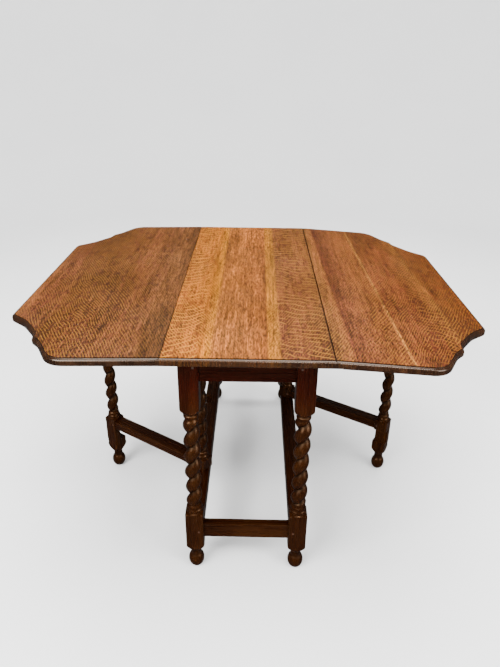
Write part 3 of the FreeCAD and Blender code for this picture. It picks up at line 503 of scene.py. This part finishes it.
def dark_oak(name, own_grain):
    """Stained oak with its grain along the third coordinate. own_grain reads each piece's own
    coordinates and exposure; without it the place in the room is used, and a flat face's wear."""
    oak = Finish(name)
    if own_grain:
        grain = oak.node("Attribute", attribute_name="grain").outputs["Vector"]
        exposed = oak.node("Attribute", attribute_name="exposed").outputs["Fac"]
    else:
        grain = oak.node("TexCoord").outputs["Object"]
        exposed = FLAT_EXPOSURE
    broad = oak.cloud(oak.stretched(grain, (16.0, 16.0, 4.0)), 1.0, 3.0, 0.6, 0.3)
    streaks = oak.cloud(oak.stretched(grain, (240.0, 240.0, 7.0)), 1.0, 3.0, 0.6)
    pores = oak.window(oak.cloud(oak.stretched(grain, (900.0, 900.0, 40.0)), 1.0, 2.0), 0.58, 0.72)
    stains = [(0.0, (0.0080, 0.0014, 0.0002)), (0.5, (0.0120, 0.0025, 0.0003)),
              (1.0, (0.0210, 0.0056, 0.0006))]
    base = oak.ramp(oak.window(broad, 0.28, 0.74), stains)
    base = oak.blend(oak.window(streaks, 0.35, 0.75, 0.0, 0.24), base, (0.0250, 0.0072, 0.0008))
    rubbed = oak.window(oak.cloud(grain, 55.0, 3.0, 0.65), 0.28, 0.64)
    worn = oak.sum("MULTIPLY", oak.window(exposed, FLAT_EXPOSURE, 1.0), rubbed)
    base = oak.blend(oak.sum("MULTIPLY", worn, 0.45), base, (0.0130, 0.0042, 0.0010))
    # Painted shade: where exposure is low, in the grooves of the rope and the necks by the beads, the
    # colour is darkened.
    recess_shade = oak.window(exposed, 0.02, 0.24, 1.0, 0.0)
    base = oak.blend(oak.sum("MULTIPLY", recess_shade, 0.75), base, (0.0020, 0.0005, 0.0002))
    base = oak.blend(oak.sum("MULTIPLY", pores, 0.28), base, (0.0025, 0.0007, 0.0003))
    # Painted shade under the top: between 0.50 and 0.64 m up, the colour grows darker and redder.
    height = oak.node("SeparateXYZ", {"Vector": oak.node("TexCoord").outputs["Object"]}).outputs["Z"]
    shade_under_top = oak.blend(1.0, base, (0.95, 0.16, 0.06), "MULTIPLY")
    base = oak.blend(oak.window(height, 0.50, 0.64), base, shade_under_top)
    oak.feed("Base Color", base)
    oak.feed("Roughness", oak.sum("ADD", oak.window(streaks, 0.3, 0.8, 0.24, 0.36),
                                  oak.sum("MULTIPLY", recess_shade, 0.15)))
    oak.relief((streaks, 0.15, 0.0006), (pores, 0.25, -0.0003))
    oak.set(Specular_IOR_Level=0.40, Specular_Tint=(1.0, 0.56, 0.30, 1.0))
    return oak


turned_oak = dark_oak("stained_oak_turned", True)
plain_oak = dark_oak("stained_oak_plain", False)
print("dark finishes:", turned_oak.material.name, plain_oak.material.name)

# %% [markdown]
# ## Legs: square, turned and twisted
#
# A leg starts as a square stick. The lathe cuts the foot, the necks and the beads, and where it
# meets the square it leaves sloping shoulders. The rope between them is carved by hand along a
# line that climbs round the leg once every few centimetres. One measure holds all of this: how
# far a point is from the middle, as a share of the square, of the turned radius and, where the
# leg is halved over a rail, of the cut. The three shares are added as high powers, which is a
# smooth way of taking the largest, and it softens the arrises as wear does. The skin of the leg
# is where the measure is one.

# %% Sizes of the turned work, in metres up the leg
LEG_HALF, GATE_HALF = 0.025, 0.0225
FOOT_RADIUS, FOOT_MIDDLE, FOOT_REACH = 0.0225, 0.0235, 0.0280
NECK_RADIUS, NECK_TOP = 0.0145, 0.062
LOW_BLOCK, LOW_BLOCK_TOP, HIGH_BLOCK = 0.089, 0.205, 0.548
BEAD, LOW_BEAD_PROUD, HIGH_BEAD_PROUD = 0.011, 0.0035, 0.003
NECK_IN, NECK_STEP = 0.005, 0.002
FIRST_BEAD = LOW_BLOCK_TOP + 0.003
ROPE_LOW = LOW_BLOCK_TOP + 0.003 + 2 * BEAD
ROPE_HIGH = HIGH_BLOCK - 0.020 - BEAD
CREST, ROOT, PITCH_OF_TWIST = 0.0225, 0.0118, 0.0505
RUN_OUT, MEAN_DEPTH, FULLNESS = 0.012, 0.45, 0.95
HALF_LAP, UNDER_CAD = 0.00075, 0.0003
LAP_MIDDLE = 0.52  # where a halved leg's rings have their middle, as a share of half
ARRIS_POWER = 22
CORNER = 1.46  # a little more than the corner of a square is from its middle, as a share of half
CLEAR = 0.060
COLUMNS = 112


def half_round(low, radius, proud):
    """Places and radii across one bead: a half ellipse that stands proud of its neck."""
    share = np.linspace(0, math.pi, 9)
    return low + BEAD * (1 - np.cos(share)) / 2, radius + proud * np.sin(share)


def turned_radius(z, half, foot):
    """The lathe's profile: at each height, the radius left by the gouge. A ball foot and its
    neck, a slope to the square, a shoulder, two beads, the twist's core, a bead and a slope."""
    neck = half - NECK_IN
    heights = [np.array([LOW_BLOCK_TOP - 0.006])]
    radii = [np.array([CLEAR])]
    for low, radius, proud in ((FIRST_BEAD, neck, LOW_BEAD_PROUD),
                               (FIRST_BEAD + BEAD, neck - NECK_STEP, HIGH_BEAD_PROUD),
                               (ROPE_HIGH, neck - 2 * NECK_STEP, LOW_BEAD_PROUD)):
        if low == ROPE_HIGH:
            heights.append(np.array([ROPE_LOW + 0.0005, ROPE_HIGH - 0.0005]))
            radii.append(np.array([ROOT, ROOT]))
        places, curve = half_round(low, radius, proud)
        heights.append(places)
        radii.append(curve)
    heights.append(np.array([HIGH_BLOCK + 0.004, HIGH_BLOCK + 0.010]))
    radii.append(np.array([half * CORNER, CLEAR]))
    profile = np.interp(z, np.concatenate(heights), np.concatenate(radii))
    if foot:
        ball = FOOT_RADIUS * np.sqrt(np.clip(1 - ((z - FOOT_MIDDLE) / FOOT_REACH) ** 2, 0, 1))
        slope = np.interp(z, [NECK_TOP, LOW_BLOCK, LOW_BLOCK + 0.004],
                          [NECK_RADIUS, half * CORNER, CLEAR])
        turned = np.where(z < FOOT_MIDDLE, ball, np.maximum(ball, slope))
        profile = np.where(z < LOW_BLOCK + 0.01, turned, profile)
    return profile


def rope(z, angle, seed, crest, start):
    """Radius of the carved rope and its height from 0 in the groove to 1 on the crest. The crest
    is the size of the cosine of half the phase, which is round on top and sharp in the groove.
    The phase is the angle less the climb; it wanders a little, as carving does."""
    climb = 2 * math.pi * (z - ROPE_LOW) / PITCH_OF_TWIST + start
    wander = 0.16 * np.sin(19 * z + seed) + 0.12 * np.sin(47 * z + 2.1 * seed + 2 * angle)
    ridge = np.abs(np.cos((angle - climb - wander) / 2)) ** FULLNESS
    ease = np.clip(np.minimum(z - ROPE_LOW, ROPE_HIGH - z) / RUN_OUT, 0, 1)
    ease = ease * ease * (3 - 2 * ease)
    depth = (crest - ROOT) * (1 + 0.06 * np.sin(31 * z + 3 * seed))
    level = MEAN_DEPTH + ease * (ridge - MEAN_DEPTH)
    return ROOT + depth * level - UNDER_CAD, level


print("rope:", round((ROPE_HIGH - ROPE_LOW) / PITCH_OF_TWIST, 2), "turns in each leg")


# %% [markdown]
# Where the leg is halved, the middle of each ring moves into the wood that is left, so that
# every ring can be seen whole from its own middle. The skin is then found along each ray by
# halving steps, for all rays at once.

# %% Find the skin of a stick
HAIR = 0.00002
FOOT_RINGS = np.arange(0.0, 0.094, 0.0022)
ROPE_RINGS = np.arange(0.196, 0.560, 0.0019)
PLAIN_RINGS = 0.012


def skin(measure, middle_x, angle, reach=0.06, steps=34):
    """Distance along each ray from (middle_x, 0) to where the measure is one."""
    near = np.zeros_like(angle)
    far = np.full_like(angle, reach)
    for _ in range(steps):
        half_way = (near + far) / 2
        inside = measure(middle_x + half_way * np.cos(angle), half_way * np.sin(angle)) < 1
        near = np.where(inside, half_way, near)
        far = np.where(inside, far, half_way)
    return (near + far) / 2


def leg_rows(low, high, breaks):
    """Heights of the rings: close together where the leg is turned, and doubled at each break."""
    plain = np.arange(low, high, PLAIN_RINGS)
    near = np.concatenate([[b - 0.0016, b - HAIR, b + HAIR, b + 0.0016] for b in breaks] or [[]])
    rows = np.concatenate([FOOT_RINGS, ROPE_RINGS, plain, near,
                           [low, low + 0.0008, high - 0.0008, high]])
    rows = np.unique(np.round(rows[(rows >= low) & (rows <= high)], 6))
    keep = np.concatenate([[True], np.diff(rows) > 0.00003])
    return rows[keep]


def leg_surface(half, low, high, foot=True, cuts=(), cut_way=1, seed=0.0, start=0.0):
    """Points, exposure and own coordinates of a leg about the upright through the origin. cuts are
    (bottom, top) spans where the half on the far side from cut_way is taken away."""
    breaks = [edge for span in cuts for edge in span if low < edge < high]
    z = leg_rows(low, high, breaks)[:, None]
    angle = np.linspace(0, 2 * math.pi, COLUMNS + 1)[:-1][None, :] + 0 * z
    z = z + 0 * angle
    radius = turned_radius(z, half, foot)
    twisted, ridge = rope(z, angle, seed, CREST * half / LEG_HALF, start)
    in_rope = (z > ROPE_LOW) & (z < ROPE_HIGH)
    radius = np.where(in_rope, np.maximum(twisted, 0), radius)
    middle = np.zeros_like(z)
    cut = np.zeros_like(z)
    for bottom, top_edge in cuts:
        cut = np.where((z > bottom) & (z < top_edge), 1.0, cut)
        ramp_ends = [bottom - 0.022, bottom - 0.004, top_edge + 0.004, top_edge + 0.026]
        rise = np.interp(z, ramp_ends, [0, 1, 1, 0])
        middle = np.maximum(middle, rise)
    middle = middle * cut_way * half * LAP_MIDDLE
    face = cut_way * HALF_LAP

    def measure(x, y):
        share = (np.abs(x) / half) ** ARRIS_POWER + (np.abs(y) / half) ** ARRIS_POWER
        share = share + (np.hypot(x, y) / radius) ** ARRIS_POWER
        into = np.clip((middle - x) / np.where(cut > 0, middle - face, 1.0), 0, 3)
        return (share + cut * into ** ARRIS_POWER) ** (1 / ARRIS_POWER)

    reach = skin(measure, middle, angle)
    x = middle + reach * np.cos(angle)
    y = reach * np.sin(angle)
    corner = np.clip((np.hypot(x, y) / half - 1.16) / 0.18, 0, 1)
    bead_crest = np.clip((radius - (half - 0.0065)) / 0.004, 0, 1) * (radius < half)
    exposed = 0.30 + 0.55 * corner
    exposed = np.where(radius < half, 0.15 + 0.75 * bead_crest, exposed)
    exposed = np.where(in_rope, 0.02 + 0.98 * np.clip(ridge, 0, 1) ** 2.2, exposed)
    own = np.stack([x + seed, y - 2 * seed, z + 0.37 * seed], axis=-1)
    return np.stack([x, y, z], axis=-1), exposed, own


def place_piece(points, spot, turn_angle=0.0):
    """Turns points about the upright and moves them to a spot in plan."""
    c, s = math.cos(turn_angle), math.sin(turn_angle)
    x = points[..., 0] * c - points[..., 1] * s + spot[0]
    y = points[..., 0] * s + points[..., 1] * c + spot[1]
    return np.stack([x, y, points[..., 2]], axis=-1)


def middle_of(node):
    """The middle of a CAD node."""
    low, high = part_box(node)
    return (low + high) / 2


def heights_of(node):
    """How low and how high a CAD node reaches."""
    low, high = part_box(node)
    return low.z, high.z


def stand_in(name, node, body, surface, flip=False):
    """Makes a piece of turned or planed oak from its points, exposure and own coordinates, and
    lets it stand for its CAD node."""
    points, exposed, own = surface
    piece = tube(name, points, flip=flip)
    give_points(piece, "exposed", exposed[..., None])
    give_points(piece, "grain", own)
    turned_oak.paint(piece)
    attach(piece, body)
    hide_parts(node)
    return piece


print("rings:", len(leg_rows(*heights_of("leg_front_left"), [])), "of", COLUMNS, "points in a leg")


# %% [markdown]
# ### The four fixed legs
#
# They stand at the corners of the frame and reach from the floor to the underside of the top.

# %% Make the fixed legs
ROPE_STARTS = {"front_left": 117, "front_right": -14, "back_left": 40, "back_right": 200}
seed = 0.7
for end in ("front", "back"):
    for side in ("left", "right"):
        node = f"leg_{end}_{side}"
        start = math.radians(ROPE_STARTS[f"{end}_{side}"])
        points, exposed, own = leg_surface(LEG_HALF, *heights_of(node), seed=seed, start=start)
        points = place_piece(points, middle_of(node))
        leg = stand_in(f"turned_{node}", node, "root", (points, exposed, own))
        seed += 1.3
print("fixed legs:", len(leg.data.polygons), "faces each")

# %% [markdown]
# ### The gates
#
# A gate is a post that turns on two pins, a leg at the swinging end and two rails between them.
# The gate stands open, so its pieces are made square to the table and turned about the post.
# The leg is halved at two heights, so that it can close flush over the rails of the frame.

# %% Make the gate legs and posts
HALVING_LOW = (0.118, 0.1685)
HALVING_HIGH = 0.6305
POST_LOW, POST_HIGH = 0.168, 0.631
SIDES = (("left", -1), ("right", 1))


def gate_lie(side, way):
    """Where a gate stands: the middles of its post and leg, the level line from one to the other,
    and how far its pieces are turned from standing square to the table."""
    post, leg = middle_of(f"gate_post_{side}"), middle_of(f"gate_leg_{side}")
    reach = leg - post
    reach.z = 0
    return post, leg, reach, math.atan2(reach.y, reach.x) + way * math.pi / 2


for side, way in SIDES:
    post_spot, leg_spot, _, turn_angle = gate_lie(side, way)
    low, high = heights_of(f"gate_leg_{side}")
    cuts = (HALVING_LOW, (HALVING_HIGH, high + 0.01))
    leg = leg_surface(GATE_HALF, low, high, cuts=cuts, cut_way=way, seed=seed)
    post = leg_surface(GATE_HALF, POST_LOW, POST_HIGH, foot=False, seed=seed + 0.9)
    for kind, spot, (points, exposed, own) in (("leg", leg_spot, leg), ("post", post_spot, post)):
        node = f"gate_{kind}_{side}"
        points = place_piece(points, spot, turn_angle)
        stand_in(f"turned_{node}", node, f"gate_{side}", (points, exposed, own))
    seed += 2.3
    print(f"gate {side}: turned", round(math.degrees(turn_angle), 1), "degrees")

# %% [markdown]
# ## Rails and aprons
#
# A rail is planed square and its arrises are taken off with a stroke or two, then worn rounder
# by shoes and dusters. Its section is a superellipse: each side is the cosine or sine of an
# angle raised to a small power, which is almost a rectangle with soft corners. The section is
# carried along the rail, and where the closed gate leg lies in a housing, the outer half of the
# section is left out.

# %% Carry a section along a rail
SECTION_POWER = 24
SECTION_POINTS = 56
HOUSING_HALF = 0.024
RAIL_RINGS = 0.02


def rail_surface(length, wide, high, housing=None, seed=0.0):
    """Points, exposure and own coordinates of a rail along Y, its middle at the origin. At angle t
    the section is (wide / 2 cos^(2/n) t, high / 2 sin^(2/n) t). In the housing, the section keeps
    only the part with x below the half lap, and the rings are doubled at its two edges."""
    along = np.linspace(-length / 2, length / 2, max(int(length / RAIL_RINGS), 4))
    along = np.concatenate([along, [-length / 2 + 0.0006, length / 2 - 0.0006]])
    if housing is not None:
        edges = np.array([housing - HOUSING_HALF, housing + HOUSING_HALF])
        along = along[np.min(np.abs(along[:, None] - edges), axis=1) > 0.003]
        along = np.concatenate([along, edges - HAIR, edges + HAIR])
    y = np.sort(along)[:, None]
    t = (np.arange(SECTION_POINTS) + 0.5)[None, :] * 2 * math.pi / SECTION_POINTS + 0 * y
    y = y + 0 * t
    c, s = np.cos(t), np.sin(t)
    flat = np.sign(c) * np.abs(c) ** (2 / SECTION_POWER)
    tall = np.sign(s) * np.abs(s) ** (2 / SECTION_POWER)
    bow = 0.0004 * np.sin(5.0 * y + seed) + 0.0002 * np.sin(17.0 * y + 2 * seed)
    x = flat * (wide / 2 - UNDER_CAD) + bow * 0.5
    z = tall * (high / 2 - UNDER_CAD) + bow
    if housing is not None:
        inside = np.abs(y - housing) < HOUSING_HALF
        x = np.where(inside, (flat * (wide / 2 - HALF_LAP) - wide / 2 - HALF_LAP) / 2, x)
    corner = np.clip((np.minimum(np.abs(flat), np.abs(tall)) - 0.925) / 0.04, 0, 1)
    exposed = 0.30 + 0.60 * corner * (0.6 + 0.4 * np.sin(23 * y + 3 * seed + 2 * t))
    own = np.stack([x + seed, z - seed, y + 1.7 * seed], axis=-1)
    return np.stack([x, y, z], axis=-1), exposed, own


print("section:", SECTION_POINTS, "points")

# %% [markdown]
# The four rails across the ends and the four along the sides run a little way into the legs, so
# that no light shows at a shoulder. A side rail is housed where its own gate leg closes, which is
# as far from the post as the open leg is, along the rail.

# %% Make the rails of the frame
TENON, BURIED = 0.025, 0.003
post_spot, _, reach, _ = gate_lie("right", 1)
closed_leg = post_spot.y - reach.length
seed = 11.0
for kind in ("apron", "stretcher"):
    for where_it_is in ("front", "back", "left", "right"):
        node = f"{kind}_{where_it_is}"
        low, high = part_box(node)
        spot, extent = (low + high) / 2, high - low
        across_table = where_it_is in ("front", "back")
        length = max(extent.x, extent.y) - 2 * (TENON - BURIED)
        wide = min(extent.x, extent.y)
        housing = None if across_table else closed_leg
        points, exposed, own = rail_surface(length, wide, extent.z, housing, seed)
        if across_table:
            points = place_piece(points, (0, 0), math.pi / 2)
        elif where_it_is == "left":
            points = place_piece(points, (0, 0), math.pi)
        points = points + np.array(spot)
        stand_in(f"planed_{node}", node, "root", (points, exposed, own), flip=True)
        seed += 1.9
print("rails of the frame: 8, the last", round(length, 3), "m long")

# %% [markdown]
# The gate rails are the same work, turned with the gate.

# %% Make the gate rails
RAIL_WIDE = 0.040
for side, way in SIDES:
    post_spot, leg_spot, reach, turn_angle = gate_lie(side, way)
    spot = (post_spot + leg_spot) / 2
    for level in ("lower", "upper"):
        node = f"gate_rail_{side}_{level}"
        low, high = heights_of(node)
        length = reach.length - 2 * (GATE_HALF - BURIED)
        points, exposed, own = rail_surface(length, RAIL_WIDE, high - low, seed=seed)
        points = place_piece(points, spot, turn_angle) + np.array((0, 0, (low + high) / 2))
        stand_in(f"planed_{node}", node, f"gate_{side}", (points, exposed, own), flip=True)
        seed += 1.9
print("gate rails:", round(length, 3), "m long")

# %% [markdown]
# ## Pegs
#
# Each tenon is pinned with a turned oak peg. Its end grain drinks more stain than the face round
# it, and as the leg shrinks the peg is left a hair proud. A peg's end is a low dome, a quarter of
# a flattened circle turned about the peg's own line, and all of a body's pegs are one mesh.

# %% Drive the pegs
PEG_RADIUS, PEG_PROUD, PEG_DEEP, PEG_IN = 0.0035, 0.0004, 0.002, 0.0125
PEG_POINTS = 20
GATE_PEG_IN = 0.009


def drive(name, body, node, ends):
    """One mesh of many peg ends. ends are (place on the face, outward direction). A peg is a row of
    rings about its direction: radius and height follow a quarter ellipse, closed at the tip."""
    t = np.linspace(0, math.pi / 2, 5)
    radii = np.concatenate([[PEG_RADIUS], PEG_RADIUS * np.cos(t)])
    radii[-1] = PEG_RADIUS * 0.02
    heights = np.concatenate([[-PEG_DEEP], PEG_PROUD * np.sin(t)])
    angle = np.arange(PEG_POINTS) * 2 * math.pi / PEG_POINTS
    places = np.array([place for place, out in ends], float)
    outward = np.array([out for place, out in ends], float)
    side_way = np.cross(outward, (0.0, 0.0, 1.0))
    ring = (side_way[:, None, :] * np.cos(angle)[None, :, None]
            + np.array((0, 0, 1.0)) * np.sin(angle)[None, :, None])
    points = (places[:, None, None, :] + ring[:, None] * radii[None, :, None, None]
              + outward[:, None, None, :] * heights[None, :, None, None])
    pegs_made, rows, columns = points.shape[:3]
    index = np.arange(pegs_made * rows * columns).reshape(pegs_made, rows, columns)
    beside = np.roll(index, -1, axis=2)
    quads = np.stack([index[:, :-1], index[:, 1:], beside[:, 1:], beside[:, :-1]], axis=-1)
    lids = index[:, 0].tolist() + index[:, -1, ::-1].tolist()
    piece = piece_of(name, points, quads.reshape(-1, 4).tolist() + lids)
    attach(piece, body)
    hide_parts(node)
    return piece


driven = []
ends = []
for end, sign in (("front", -1), ("back", 1)):
    for side, way in SIDES:
        x, y, _ = middle_of(f"leg_{end}_{side}")
        for kind in ("apron", "stretcher"):
            level = middle_of(f"{kind}_{end}").z
            ends.append(((x - way * PEG_IN, y + sign * LEG_HALF, level), (0, sign, 0)))
            ends.append(((x + way * LEG_HALF, y - sign * PEG_IN, level), (way, 0, 0)))
driven.append(drive("peg_ends_frame", "root", "frame_pegs", ends))
for side, way in SIDES:
    post_spot, leg_spot, reach, _ = gate_lie(side, way)
    line = reach.normalized()
    face = Vector((-line.y, line.x, 0))
    ends = []
    for rail in ("lower", "upper"):
        level = middle_of(f"gate_rail_{side}_{rail}").z
        for corner, inward in ((post_spot, 1), (leg_spot, -1)):
            for out in (-1, 1):
                place = corner + inward * line * (GATE_HALF - GATE_PEG_IN) + out * face * GATE_HALF
                ends.append(((place.x, place.y, level), tuple(out * face)))
    driven.append(drive(f"peg_ends_gate_{side}", f"gate_{side}", f"gate_pegs_{side}", ends))
print("pegs:", sum(len(piece.data.polygons) for piece in driven), "faces")

# %% [markdown]
# ## Small parts
#
# Glue blocks, stop blocks, hinges and screws are plain on a real table too, so they keep their CAD
# shapes and get only a finish. The hinges are wrought iron blackened by handling, with rust in
# patches; the screws are dull steel with stains. Each node takes the finish of the material slot
# that the record names for it.

# %% Finish the plain pieces
pegs = Finish("peg_end_grain")
place = pegs.node("TexCoord").outputs["Object"]
speck = pegs.cloud(place, 900.0, 2.0)
pegs.feed("Base Color", pegs.ramp(speck, [(0.3, (0.020, 0.008, 0.004)), (0.7, (0.070, 0.026, 0.011))]))
pegs.set(Roughness=0.42)

iron = Finish("blackened_iron")
place = iron.node("TexCoord").outputs["Object"]
rust = iron.window(iron.cloud(place, 120.0, 4.0, 0.7), 0.45, 0.68)
iron.feed("Base Color", iron.blend(rust, (0.045, 0.040, 0.038), (0.105, 0.045, 0.022)))
iron.feed("Roughness", iron.window(iron.cloud(place, 300.0, 3.0), 0.3, 0.7, 0.38, 0.62))
iron.relief((iron.cloud(place, 700.0, 3.0), 0.25, 0.0003))
iron.set(Metallic=0.85)

steel = Finish("dull_steel")
place = steel.node("TexCoord").outputs["Object"]
stain = steel.window(steel.cloud(place, 400.0, 3.0), 0.4, 0.7)
steel.feed("Base Color", steel.blend(stain, (0.30, 0.28, 0.25), (0.12, 0.09, 0.07)))
steel.feed("Roughness", steel.window(steel.cloud(place, 800.0, 2.0), 0.3, 0.7, 0.35, 0.55))
steel.set(Metallic=0.9)

pegs.paint(*driven)

FINISH_OF = {"oak_frame": plain_oak, "oak_block": plain_oak, "oak_peg": pegs, "iron": iron,
             "steel_screw": steel, "oak_top": top}
for part in frame["record"]["subparts"]:
    FINISH_OF[part["material_slot"]].paint(frame["nodes"][part["node"]])
